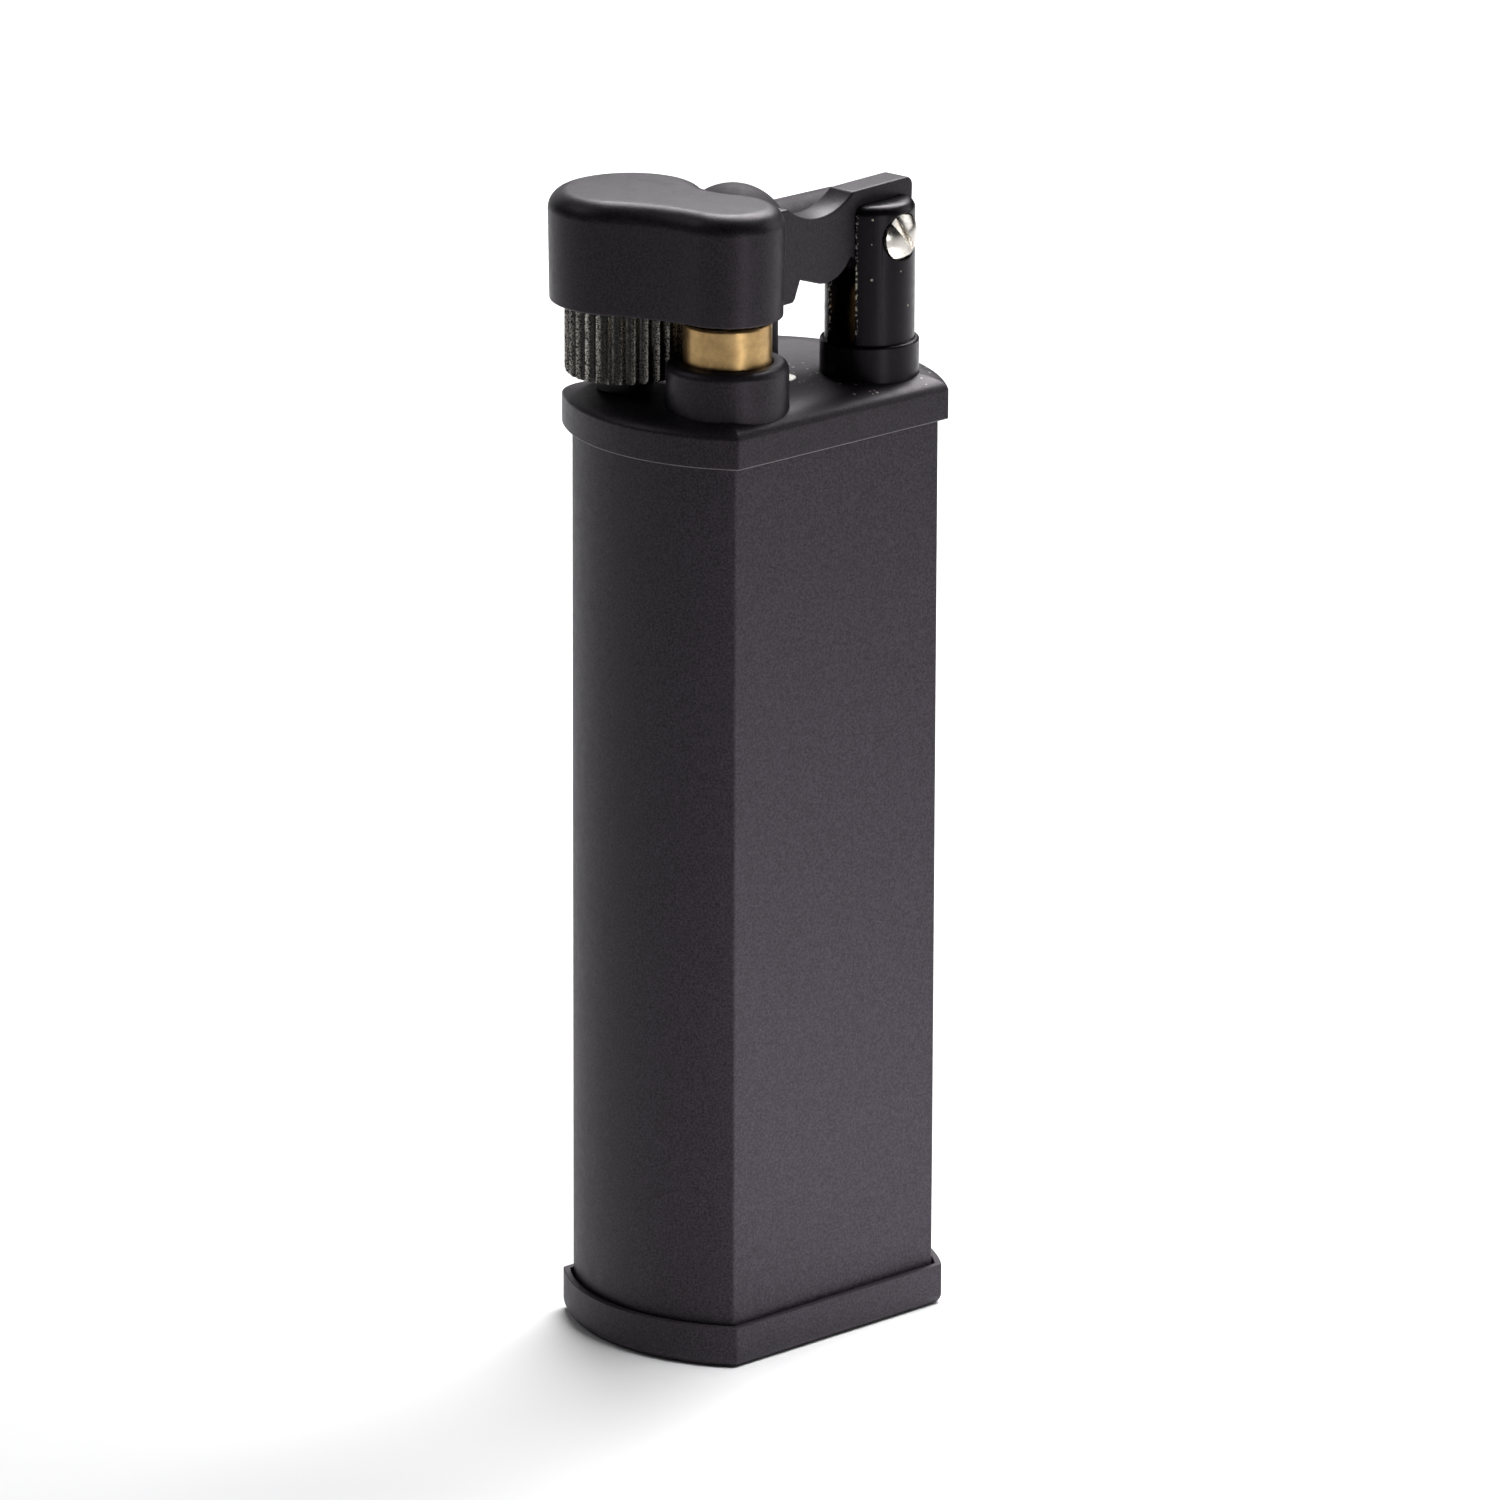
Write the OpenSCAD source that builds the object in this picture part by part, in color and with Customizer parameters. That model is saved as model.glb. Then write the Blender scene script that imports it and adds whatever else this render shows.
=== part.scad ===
// Pipe lighter with a side roller and a lifting snuffer arm.
// Origin: centre of the base underside. +X points to the arm's hinge post,
// -Y is the front flat, +Z is up. Heights named *_h are measured above the top plate.

/* [Body section] */
// Length of the plan section over its two rounded ends
section_len = 22.8; // [22:0.1:25]
// Width of the plan section over its two flats
section_w = 15.4; // [15:0.1:17]
// Radius of the two rounded ends
end_r = 12; // [11.5:0.1:14]
// How far the tube stands inside the outline of the caps
tube_inset = 0.6; // [0.5:0.05:0.8]
// Wall of the body tube
tube_wall = 0.5; // [0.4:0.05:0.6]
// Underside of the top cap's skirt
cap_low_z = 56; // [54:0.5:70]

/* [Caps] */
// Height of the top cap
cap_height = 2.7; // [2.5:0.1:3]
// Plate thickness of the top cap
cap_plate = 1.5; // [1.3:0.1:1.6]
// Rounding of the top cap's upper edge
cap_edge_r = 0.9; // [0.5:0.1:1]
// Height of the base cap's rim
base_rim_z = 2.6; // [2.2:0.1:3]
// Floor thickness of the base cap
base_floor = 1.4; // [1.2:0.1:1.6]
// Wall of the base cap's rim
base_rim_wall = 0.42; // [0.35:0.01:0.45]
// Rounding of the base cap's lower edge
base_edge_r = 0.7; // [0.4:0.1:0.8]

/* [Tank] */
// Wall of the fuel tank
tank_wall = 0.8; // [0.6:0.1:1]
// Top wall of the fuel tank
tank_top_wall = 1.2; // [1:0.1:1.5]
// Height of the mechanism block between the tank and the top cap
block_height = 4.95; // [4.9:0.05:5]

/* [Burner] */
// Burner axis, along the section
burner_x = -5.65; // [-5.8:0.05:-5.5]
// Burner axis, across the section
burner_y = -3.55; // [-3.6:0.05:-3.4]
// Radius of the brass burner
burner_r = 2.64; // [2.5:0.02:2.7]
// Top of the burner above the plate
burner_top_h = 5.15; // [5:0.05:5.2]
// Outer radius of the burner housing
housing_r = 3.66; // [3.5:0.02:3.7]
// Height of the burner housing above the plate
housing_h = 2.7; // [2.4:0.1:2.8]

/* [Lift arm] */
// Hinge post axis, along the section
post_x = 6.05; // [5.9:0.05:6.2]
// Hinge post axis, across the section
post_y = -3.5; // [-3.6:0.05:-3.4]
// Radius of the hinge post
post_r = 2.7; // [2.65:0.05:2.8]
// Top of the hinge post above the plate
post_top_h = 10.6; // [10.4:0.1:11]
// Turn of the arm plate and its slot about the post, seen from above
arm_turn = 5; // [4:0.5:6]
// Width of the slot in the hinge post
slot_w = 2; // [1.9:0.05:2.1]
// Thickness of the arm plate in the slot
arm_t = 1.9; // [1.8:0.02:1.94]
// Pivot height above the plate
pivot_h = 8.6; // [8.5:0.05:8.7]
// Radius of the arm's hub at rest, where the plunger presses
hub_r = 2.55; // [2.5:0.05:2.6]
// Growth of the hub radius per radian, which drives the plunger down
cam_rise = 0.2; // [0.15:0.01:0.22]
// Underside of the arm's head above the plate
head_low_h = 5.42; // [5.4:0.02:5.5]
// Top of the arm's head above the plate
head_top_h = 12.2; // [11.9:0.05:12.2]
// Radius of the lobe over the burner
small_lobe_r = 3.4; // [3.2:0.05:3.4]
// Radius of the lobe over the flint wheel
large_lobe_r = 4.75; // [4.7:0.05:4.75]
// Radius of the deep waist that faces the flint tower
inner_waist_r = 2.6; // [2:0.1:3]
// Radius of the shallow waist at the thumb side
outer_waist_r = 14; // [8:0.5:20]

/* [Ignition] */
// Roller axis, along the section
roller_x = -7.33; // [-7.35:0.01:-7.3]
// Flint axis and roller axis, across the section
flint_y = 3.6; // [3.5:0.05:3.7]
// Radius of the thumb roller
roller_r = 3.55; // [3.2:0.05:3.55]
// Flutes around the thumb roller
roller_flutes = 28; // [20:1:28]
// Radius of the flint wheel
wheel_r = 2.6; // [2.5:0.05:2.6]
// Teeth around the flint wheel
wheel_teeth = 30; // [24:1:36]
// Flint tower axis, along the section
tower_x = 1.5; // [1.5:0.05:1.6]
// Radius of the tower's head
tower_r = 3.45; // [3.3:0.05:3.45]
// Axis of the flint tube above the plate
flint_h = 7.25; // [7.2:0.05:7.3]
// Outer radius of the flint tube behind the tower
flint_tube_r = 2; // [1.95:0.05:2.2]
// Outer radius of the flint tube's nose
nose_r = 1.75; // [1.7:0.05:1.75]

/* [Base fittings] */
// Refill valve axis, along the section
refill_x = 5; // [4.5:0.1:5.5]
// Radius of the refill socket
refill_socket_r = 1.4; // [1.3:0.05:1.5]
// Radius of the flame adjuster's head
adjuster_head_r = 1.9; // [1.7:0.05:2]

/* [Hidden] */
$fn = 64;

// Clearances: fixed parts, running parts, and the overshoot of a cutting tool
fit = 0.02;
run = 0.05;
cut = 1;

// Pin pressed into the top plate
pin_at = [0.88, -1.28];
pin_r = 0.92;

// Heights of the body
plate_z = cap_low_z + cap_height;
block_top_z = plate_z - cap_plate - 0.05;
block_low_z = block_top_z - block_height;
tank_top_z = block_low_z - 0.2;
floor_low_z = base_floor + 0.1;
floor_flange = 1.2;
seal_low_z = floor_low_z + floor_flange;
seal_t = 0.4;
tank_low_z = seal_low_z + seal_t;
floor_boss_top_z = 6.4;

// Insets of the nested sections from the caps' outline
tube_inner_inset = tube_inset + tube_wall;
tank_inset = tube_inner_inset + 0.1;
tank_inner_inset = tank_inset + tank_wall;

// Burner valve
spring_seat_z = block_low_z + 1.4;
stem_r = 1.1;
burner_low_h = -0.3;
stem_low_z = block_low_z - 1.7;
valve_low_z = stem_low_z - 4;
valve_top_z = block_top_z - 0.75;
valve_r = 2.4;
valve_neck_r = 1.9;
valve_spigot_r = 1.5;
valve_pocket_r = 1.8;
jet_bore_r = 0.3;
filter_r = 2.1;
adjuster_bore_r = 0.75;
adjuster_shank_r = 1.2;
adjuster_top_z = 5;
adjuster_tube_r = 1.1;
rod_r = 0.6;
oring_t = 0.6;
nozzle_top_h = 6.25;
nozzle_r = 0.8;
nozzle_flange_r = 1.1;
nozzle_flange_t = 0.7;
nozzle_depth = 1.2;
gas_bore_r = 0.4;
housing_spigot_r = 3;

// Hinge post and plunger
collar_r = 2.98;
post_edge_r = 0.6;
collar_h = 2.1;
slot_low_h = 1.9;
post_spigot_r = 2.1;
post_low_h = -5.5;
plunger_bore_r = 1.5;
plunger_r = plunger_bore_r - run;
plunger_top_h = pivot_h - hub_r - 0.03;
plunger_low_h = 0.4;
spring_pocket_r = 1.2;
spring_pocket_h = 3.4;
plug_t = 0.8;
pivot_r = 0.7;
screw_head_r = 1.4;
screw_head_t = 0.7;
screw_slot_turn = -55;
screw_seat = 2.25;
cam_end = 20;

// Arm outline above the plate, seen from the front
arm_top_h = 11.58;
scoop = [0.53, 15.27];
scoop_r = 4.7;
belly = [1.09, 9];
belly_r = 2.59;
web_low_h = 5.77;
block_end_x = 8.85;
block_round = 0.55;

// Head of the arm, seen from above
small_lobe = [burner_x, burner_y];
large_lobe = [-7.05, flint_y];
snuffer_recess_r = 2.3;
snuffer_pad_low_h = nozzle_top_h + 0.03;
snuffer_pad_t = 0.9;
wheel_recess_r = 3.4;
wheel_recess_top_h = 10.4;

// Roller, wheel and axle
roller_low_h = 0.95;
roller_top_h = 5.3;
flute_r = 0.38;
flute_out = 0.1;
wheel_top_h = 9.05;
axle_r = 0.75;
axle_bore_r = axle_r + run;

// Flint, its tube and its spring
tube_end_x = 10.2;
nose_end_x = roller_x + wheel_r + 0.1;
flint_bore_r = 1.25;
flint_r = 1.2;
flint_front_x = roller_x + wheel_r + 0.04;
flint_back_x = -1.7;
follower_back_x = -0.4;
flint_screw_front_x = 6.4;
tower_base_r = 2.75;
tower_base_h = 2.9;
tower_neck_r = 1.6;
tower_head_h = 4;
tower_top_h = 10.9;
follower_r = 1.15;

// Refill valve
refill_head_r = 2.4;
refill_body_r = 1.9;
refill_low_z = 0.3;
refill_socket_top_z = 2.2;
refill_seat_z = 3;
refill_top_z = 9.5;
refill_chamber_r = 1.35;
refill_pin_r = 0.5;
refill_collar_z = refill_seat_z + 0.3;
refill_collar_t = 0.8;

// Extruded plan section of the body, standing on z = 0
module section(inset, height) {
  linear_extrude(height)
    intersection() {
      intersection_for(side = [-1, 1])
        translate([side * (section_len / 2 - end_r), 0])
          circle(r = end_r - inset, $fn = 180);
      square([section_len, section_w - 2 * inset], center = true);
    }
}

// Upright half profile with a rounded upper outer corner
module round_profile(half, height, edge) {
  square([half - edge, height]);
  square([half, height - edge]);
  translate([half - edge, height - edge])
    circle(r = edge);
}

// Body section whose upper edge is rounded all round
module rounded_section(height, edge) {
  intersection() {
    intersection_for(side = [-1, 1])
      translate([side * (section_len / 2 - end_r), 0, 0])
        rotate_extrude($fn = 180)
          round_profile(end_r, height, edge);
    rotate([90, 0, 90])
      translate([0, 0, -section_len / 2])
        linear_extrude(section_len)
          union() {
            round_profile(section_w / 2, height, edge);
            mirror([1, 0])
              round_profile(section_w / 2, height, edge);
          }
  }
}

// Upright cylinder between two heights
module post_between(r, low, high) {
  translate([0, 0, low])
    cylinder(r = r, h = high - low);
}

// Upright ring between two heights
module ring_between(outer, inner, low, high) {
  difference() {
    post_between(outer, low, high);
    post_between(inner, low - cut, high + cut);
  }
}

// Cylinder along X between two positions
module bar_between(r, low, high) {
  translate([low, 0, 0])
    rotate([0, 90, 0])
      cylinder(r = r, h = high - low);
}

// Turned button with a rounded upper edge
module rounded_post(r, low, high, edge) {
  translate([0, 0, low])
    rotate_extrude()
      round_profile(r, high - low, edge);
}

// Compression spring standing on z = 0
module coil_spring(mean_r, wire_r, height, turns) {
  sides = 6;
  steps = turns * 14;
  points = [
    for (step = [0:steps], side = [0:sides - 1])
      let (
        turn = 360 * turns * step / steps,
        around = 360 * side / sides,
        reach = mean_r + wire_r * cos(around),
        level = wire_r + (height - 2 * wire_r) * step / steps
      )
      [reach * cos(turn), reach * sin(turn), level + wire_r * sin(around)]
  ];
  walls = [
    for (step = [0:steps - 1], side = [0:sides - 1])
      let (next = (side + 1) % sides, near = step * sides, far = near + sides)
      [near + side, near + next, far + next, far + side]
  ];
  near_end = [for (side = [sides - 1:-1:0]) side];
  far_end = [for (side = [0:sides - 1]) steps * sides + side];
  polyhedron(points = points, faces = concat(walls, [near_end, far_end]), convexity = 10);
}

// Centre of the circle of radius r that touches both lobes from outside, on the given side
function waist_centre(r, side) =
  let (
    span = large_lobe - small_lobe,
    gap = norm(span),
    reach_small = small_lobe_r + r,
    reach_large = large_lobe_r + r,
    along = (gap * gap + reach_small * reach_small - reach_large * reach_large) / (2 * gap),
    out = sqrt(reach_small * reach_small - along * along),
    axis = span / gap
  )
  small_lobe + along * axis + side * out * [axis[1], -axis[0]];

// Plan outline of the arm's head: two lobes joined by a waist
module head_outline() {
  inner = waist_centre(inner_waist_r, 1);
  outer = waist_centre(outer_waist_r, -1);
  translate(small_lobe)
    circle(r = small_lobe_r);
  translate(large_lobe)
    circle(r = large_lobe_r);
  difference() {
    polygon([small_lobe, inner, large_lobe, outer]);
    translate(inner)
      circle(r = inner_waist_r);
    translate(outer)
      circle(r = outer_waist_r, $fn = 240);
  }
}

// Side outline of the arm plate before its turn, X to the right and height above the plate upwards
module arm_outline() {
  pivot = [post_x, pivot_h];
  cam = [
    for (angle = [-90:5:cam_end])
      let (reach = hub_r + cam_rise * (angle + 90) * PI / 180)
      pivot + reach * [cos(angle), sin(angle)]
  ];
  difference() {
    union() {
      polygon(concat(
        cam,
        [
          [block_end_x, arm_top_h - block_round],
          [block_end_x - block_round, arm_top_h],
          [burner_x + 1, arm_top_h],
          [burner_x + 1, web_low_h],
          [-1.9, web_low_h],
          [-1.71, web_low_h + 0.19],
          [-1.25, 7.05],
          [0.54, 6.45],
          belly
        ]
      ));
      translate(belly)
        circle(r = belly_r);
      translate(pivot)
        circle(r = hub_r);
      translate([block_end_x - block_round, arm_top_h - block_round])
        circle(r = block_round);
    }
    translate(scoop)
      circle(r = scoop_r);
    translate(pivot)
      circle(r = pivot_r + run);
  }
}

module base_cap() {
  color("#242326")
  difference() {
    translate([0, 0, base_rim_z])
      mirror([0, 0, 1])
        rounded_section(base_rim_z, base_edge_r);
    translate([0, 0, base_floor])
      section(base_rim_wall, base_rim_z);
    translate([burner_x, burner_y, 0])
      post_between(adjuster_head_r + 0.1, -cut, base_floor + cut);
    translate([refill_x, 0, 0])
      post_between(refill_head_r + fit, -cut, base_floor + cut);
  }
}

module body_tube() {
  color("#2b2a2d")
  translate([0, 0, base_floor])
    difference() {
      section(tube_inset, block_top_z - base_floor);
      translate([0, 0, -cut])
        section(tube_inner_inset, block_top_z);
    }
}

module top_cap() {
  color("#232225")
  difference() {
    translate([0, 0, cap_low_z])
      rounded_section(cap_height, cap_edge_r);
    translate([0, 0, cap_low_z - cut])
      section(tube_inset - run, cap_height - cap_plate + cut);
    translate([burner_x, burner_y, plate_z]) {
      post_between(housing_spigot_r + fit, -cap_plate - cut, cut);
      post_between(housing_r + fit, -0.2, cut);
    }
    translate([post_x, post_y, plate_z])
      post_between(post_spigot_r + fit, -cap_plate - cut, cut);
    translate([tower_x, flint_y, plate_z])
      post_between(tower_neck_r + fit, -cap_plate - cut, cut);
    translate([roller_x, flint_y, plate_z])
      post_between(axle_r + fit, -cap_plate - cut, cut);
    translate([pin_at[0], pin_at[1], plate_z])
      post_between(pin_r + fit, -cap_plate - cut, cut);
  }
}

module mechanism_block() {
  color("#77777a")
  translate([0, 0, block_low_z])
    difference() {
      section(tank_inset, block_height);
      translate([burner_x, burner_y, 0])
        post_between(valve_r + fit, -cut, block_height + cut);
      translate([post_x, post_y, 0])
        post_between(post_spigot_r + fit, -cut, block_height + cut);
      translate([tower_x, flint_y, 0])
        post_between(tower_neck_r + fit, 1, block_height + cut);
    }
}

module tank_shell() {
  color("#d8d6cc")
  difference() {
    translate([0, 0, tank_low_z])
      section(tank_inset, tank_top_z - tank_low_z);
    translate([0, 0, tank_low_z - cut])
      section(tank_inner_inset, tank_top_z - tank_top_wall - tank_low_z + cut);
    translate([burner_x, burner_y, 0])
      post_between(valve_neck_r + fit, tank_top_z - tank_top_wall - cut, tank_top_z + cut);
  }
}

module tank_floor() {
  color("#d0cec4")
  difference() {
    union() {
      translate([0, 0, floor_low_z])
        section(tank_inset, floor_flange);
      translate([0, 0, seal_low_z])
        section(tank_inner_inset + fit, 1.3);
      translate([burner_x, burner_y, 0])
        post_between(2, seal_low_z, floor_boss_top_z);
    }
    translate([burner_x, burner_y, 0]) {
      post_between(adjuster_shank_r + run, 0, adjuster_top_z + 0.2);
      post_between(adjuster_tube_r + fit, 0, floor_boss_top_z + cut);
    }
    translate([refill_x, 0, 0])
      post_between(refill_body_r + fit, 0, floor_boss_top_z);
  }
}

module tank_seal() {
  color("#1b1b1b")
  translate([0, 0, seal_low_z])
    difference() {
      section(tank_inset, seal_t);
      translate([0, 0, -cut])
        section(tank_inner_inset, seal_t + 2 * cut);
    }
}

module valve_body() {
  color("#c9a24a")
  translate([burner_x, burner_y, 0])
    difference() {
      union() {
        post_between(valve_r, tank_top_z + oring_t, valve_top_z);
        post_between(valve_neck_r, tank_top_z - tank_top_wall, tank_top_z + oring_t);
        post_between(valve_spigot_r, valve_low_z, tank_top_z);
      }
      post_between(adjuster_bore_r, valve_low_z - cut, stem_low_z - 1.5);
      post_between(jet_bore_r, valve_low_z, stem_low_z);
      post_between(stem_r + run, stem_low_z - 0.3, valve_top_z);
      post_between(valve_pocket_r, spring_seat_z, valve_top_z + cut);
    }
}

module valve_oring() {
  color("#1b1b1b")
  translate([burner_x, burner_y, 0])
    ring_between(valve_r - run, valve_neck_r + fit, tank_top_z, tank_top_z + oring_t);
}

module wick_filter() {
  color("#e8e6df")
  translate([burner_x, burner_y, 0])
    ring_between(filter_r, valve_spigot_r + fit, valve_low_z + 0.7, tank_top_z - tank_top_wall - 0.3);
}

module burner_housing() {
  color("#232225")
  translate([burner_x, burner_y, plate_z])
    difference() {
      union() {
        rounded_post(housing_r, -0.2, housing_h, 0.5);
        post_between(housing_spigot_r, -cap_plate, 0);
      }
      post_between(burner_r + run, -cap_plate - cut, housing_h + cut);
    }
}

module burner() {
  color("#b08d4c")
  translate([burner_x, burner_y, plate_z])
    difference() {
      union() {
        rounded_post(burner_r, burner_low_h, burner_top_h, 0.2);
        post_between(stem_r, stem_low_z - plate_z, burner_low_h);
      }
      post_between(nozzle_r + fit, burner_top_h - nozzle_depth, burner_top_h + cut);
      post_between(gas_bore_r, stem_low_z - plate_z - cut, burner_top_h);
    }
}

module burner_nozzle() {
  color("#8d8f92")
  translate([burner_x, burner_y, plate_z])
    difference() {
      union() {
        post_between(nozzle_r, burner_top_h - nozzle_depth, burner_top_h);
        post_between(nozzle_flange_r, burner_top_h, burner_top_h + nozzle_flange_t);
        post_between(nozzle_r, burner_top_h + nozzle_flange_t, nozzle_top_h);
      }
      post_between(gas_bore_r - 0.15, burner_top_h - 2 * nozzle_depth, nozzle_top_h + cut);
    }
}

module stem_seal() {
  color("#1b1b1b")
  translate([burner_x, burner_y, 0])
    ring_between(stem_r - run, gas_bore_r, stem_low_z - 0.25, stem_low_z);
}

module burner_spring() {
  color("#a9abae")
  translate([burner_x, burner_y, spring_seat_z])
    coil_spring(1.45, 0.17, plate_z + burner_low_h - spring_seat_z, 6);
}

module flame_adjuster() {
  color("#b08d4c")
  translate([burner_x, burner_y, 0])
    difference() {
      union() {
        post_between(adjuster_head_r, refill_low_z, base_floor);
        post_between(adjuster_shank_r, base_floor, adjuster_top_z);
      }
      translate([-adjuster_head_r - cut, -0.35, 0])
        cube([2 * adjuster_head_r + 2 * cut, 0.7, 0.9]);
    }
}

module adjuster_rod() {
  color("#c9a24a")
  translate([burner_x, burner_y, 0])
    union() {
      post_between(rod_r, adjuster_top_z, valve_low_z + 1.5);
      translate([0, 0, valve_low_z + 1.5])
        cylinder(r1 = rod_r, r2 = 0.15, h = 0.8);
    }
}

module adjuster_tube() {
  color("#c9a24a")
  translate([burner_x, burner_y, 0])
    ring_between(adjuster_tube_r, rod_r + 0.1, adjuster_top_z + 0.2, valve_low_z);
}

module refill_valve_body() {
  color("#b08d4c")
  translate([refill_x, 0, 0])
    difference() {
      union() {
        post_between(refill_head_r, refill_low_z, floor_low_z);
        post_between(refill_body_r, floor_low_z, refill_top_z);
      }
      post_between(refill_socket_r, refill_low_z - cut, refill_socket_top_z);
      post_between(refill_pin_r + run, refill_low_z, refill_seat_z);
      post_between(refill_chamber_r, refill_seat_z, refill_top_z - 0.9);
      post_between(0.4, refill_seat_z, refill_top_z + cut);
    }
}

module refill_gasket() {
  color("#1b1b1b")
  translate([refill_x, 0, 0])
    ring_between(refill_chamber_r - run, refill_pin_r + run, refill_seat_z, refill_collar_z);
}

module refill_pin() {
  color("#d9d7d0")
  translate([refill_x, 0, 0])
    union() {
      post_between(refill_pin_r, refill_socket_top_z + run, 6.5);
      post_between(1.2, refill_collar_z, refill_collar_z + refill_collar_t);
    }
}

module refill_spring() {
  color("#a9abae")
  translate([refill_x, 0, refill_collar_z + refill_collar_t])
    coil_spring(0.95, 0.14, refill_top_z - 0.9 - refill_collar_z - refill_collar_t, 6);
}

module hinge_post() {
  color("#151416")
  difference() {
    translate([post_x, post_y, plate_z])
      union() {
        rounded_post(post_r, 0, post_top_h, post_edge_r);
        rounded_post(collar_r, 0, collar_h, 0.15);
        post_between(post_spigot_r, post_low_h, 0);
      }
    translate([post_x, post_y, plate_z])
      post_between(plunger_bore_r, post_low_h - cut, pivot_h - 1.4);
    translate([post_x, post_y, plate_z])
      rotate([0, 0, arm_turn]) {
        translate([-section_w / 2, -slot_w / 2, slot_low_h])
          cube([section_w, slot_w, post_top_h]);
        translate([0, 0, pivot_h])
          rotate([90, 0, 0]) {
            cylinder(r = pivot_r + fit, h = section_w, center = true);
            translate([0, 0, screw_seat])
              cylinder(r = screw_head_r + run, h = section_w);
          }
      }
  }
}

module post_plug() {
  color("#c9a24a")
  translate([post_x, post_y, plate_z + post_low_h])
    difference() {
      post_between(plunger_bore_r - fit, 0, plug_t);
      translate([-plunger_bore_r, -0.2, -cut])
        cube([2 * plunger_bore_r, 0.4, cut + 0.4]);
    }
}

module arm_plunger() {
  color("#c9a24a")
  translate([post_x, post_y, plate_z])
    difference() {
      union() {
        post_between(plunger_r, plunger_low_h, plunger_top_h - plunger_r);
        translate([0, 0, plunger_top_h - plunger_r])
          sphere(r = plunger_r);
      }
      post_between(spring_pocket_r, -cut, spring_pocket_h);
    }
}

module arm_spring() {
  color("#a9abae")
  translate([post_x, post_y, plate_z + post_low_h + plug_t])
    coil_spring(0.95, 0.17, spring_pocket_h - post_low_h - plug_t, 8);
}

module lift_arm() {
  color("#1d1c1f")
  difference() {
    union() {
      translate([0, 0, plate_z + head_low_h])
        linear_extrude(head_top_h - head_low_h)
          head_outline();
      translate([post_x, post_y, plate_z])
        rotate([0, 0, arm_turn])
          translate([-post_x, arm_t / 2, 0])
            rotate([90, 0, 0])
              linear_extrude(arm_t)
                arm_outline();
    }
    translate([burner_x, burner_y, plate_z])
      post_between(snuffer_recess_r, 0, snuffer_pad_low_h + snuffer_pad_t);
    translate([roller_x, flint_y, plate_z])
      post_between(wheel_recess_r, 0, wheel_recess_top_h);
    translate([roller_x, flint_y - nose_r - 0.2, plate_z])
      cube([large_lobe_r + cut, 2 * nose_r + 0.4, flint_h + nose_r + 0.35]);
  }
}

module snuffer_pad() {
  color("#1b1b1b")
  translate([burner_x, burner_y, plate_z + snuffer_pad_low_h])
    post_between(snuffer_recess_r - fit, 0, snuffer_pad_t);
}

module pivot_screw() {
  color("#b9bbbe")
  translate([post_x, post_y, plate_z + pivot_h])
    rotate([0, 0, arm_turn])
      rotate([90, 0, 0])
        difference() {
          union() {
            rounded_post(screw_head_r, screw_seat, screw_seat + screw_head_t, 0.3);
            post_between(pivot_r, 0.4 - post_r, screw_seat);
          }
          rotate([0, 0, screw_slot_turn])
            translate([-screw_head_r - cut, -0.22, screw_seat + screw_head_t - 0.35])
              cube([2 * screw_head_r + 2 * cut, 0.44, cut]);
        }
}

module thumb_roller() {
  edge = 0.25;
  color("#4c4a48")
  translate([roller_x, flint_y, plate_z + roller_low_h])
    difference() {
      rotate_extrude()
        polygon([
          [0, 0], [roller_r - edge, 0], [roller_r, edge],
          [roller_r, roller_top_h - roller_low_h - edge],
          [roller_r - edge, roller_top_h - roller_low_h], [0, roller_top_h - roller_low_h]
        ]);
      for (flute = [0:roller_flutes - 1])
        rotate([0, 0, 360 * flute / roller_flutes])
          translate([roller_r + flute_out, 0, -cut])
            cylinder(r = flute_r, h = roller_top_h + cut, $fn = 24);
      post_between(axle_bore_r, -cut, roller_top_h + cut);
    }
}

module flint_wheel() {
  tooth = 0.22;
  teeth = [
    for (point = [0:2 * wheel_teeth - 1])
      (wheel_r - tooth * (point % 2)) * [cos(180 * point / wheel_teeth), sin(180 * point / wheel_teeth)]
  ];
  color("#5a5856")
  translate([roller_x, flint_y, plate_z])
    difference() {
      translate([0, 0, roller_top_h])
        linear_extrude(wheel_top_h - roller_top_h)
          polygon(teeth);
      post_between(axle_bore_r, roller_top_h - cut, wheel_top_h + cut);
    }
}

module roller_axle() {
  color("#a9abae")
  translate([roller_x, flint_y, plate_z])
    union() {
      post_between(axle_r, -cap_plate, wheel_top_h + run);
      rounded_post(1.5, wheel_top_h + run, wheel_top_h + 0.6, 0.2);
    }
}

module roller_washer() {
  color("#a9abae")
  translate([roller_x, flint_y, plate_z])
    ring_between(1.7, axle_r + fit, 0, roller_low_h - run);
}

module flint_tower() {
  edge = 0.6;
  dome_h = tower_top_h - tower_r;
  color("#232225")
  translate([tower_x, flint_y, plate_z])
    difference() {
      union() {
        post_between(tower_neck_r, -cap_plate - 2, tower_head_h + 1);
        rounded_post(tower_base_r, 0, tower_base_h, 0.4);
        translate([0, 0, tower_head_h])
          cylinder(r1 = tower_r - edge, r2 = tower_r, h = edge);
        post_between(tower_r, tower_head_h + edge, dome_h);
        translate([0, 0, dome_h])
          sphere(r = tower_r);
      }
      translate([0, 0, flint_h])
        bar_between(nose_r + fit, -2 * tower_r, 2 * tower_r);
      translate([0, 0, flint_h])
        bar_between(flint_tube_r + fit, tower_r - 0.8, 2 * tower_r);
    }
}

module flint_tube() {
  color("#232225")
  translate([0, flint_y, plate_z + flint_h])
    difference() {
      union() {
        bar_between(nose_r, nose_end_x, tube_end_x);
        bar_between(flint_tube_r, tower_x + tower_r - 0.8, tube_end_x);
      }
      bar_between(flint_bore_r, nose_end_x - cut, tube_end_x + cut);
    }
}

module flint() {
  color("#3b3a3c")
  translate([0, flint_y, plate_z + flint_h])
    bar_between(flint_r, flint_front_x, flint_back_x);
}

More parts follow.
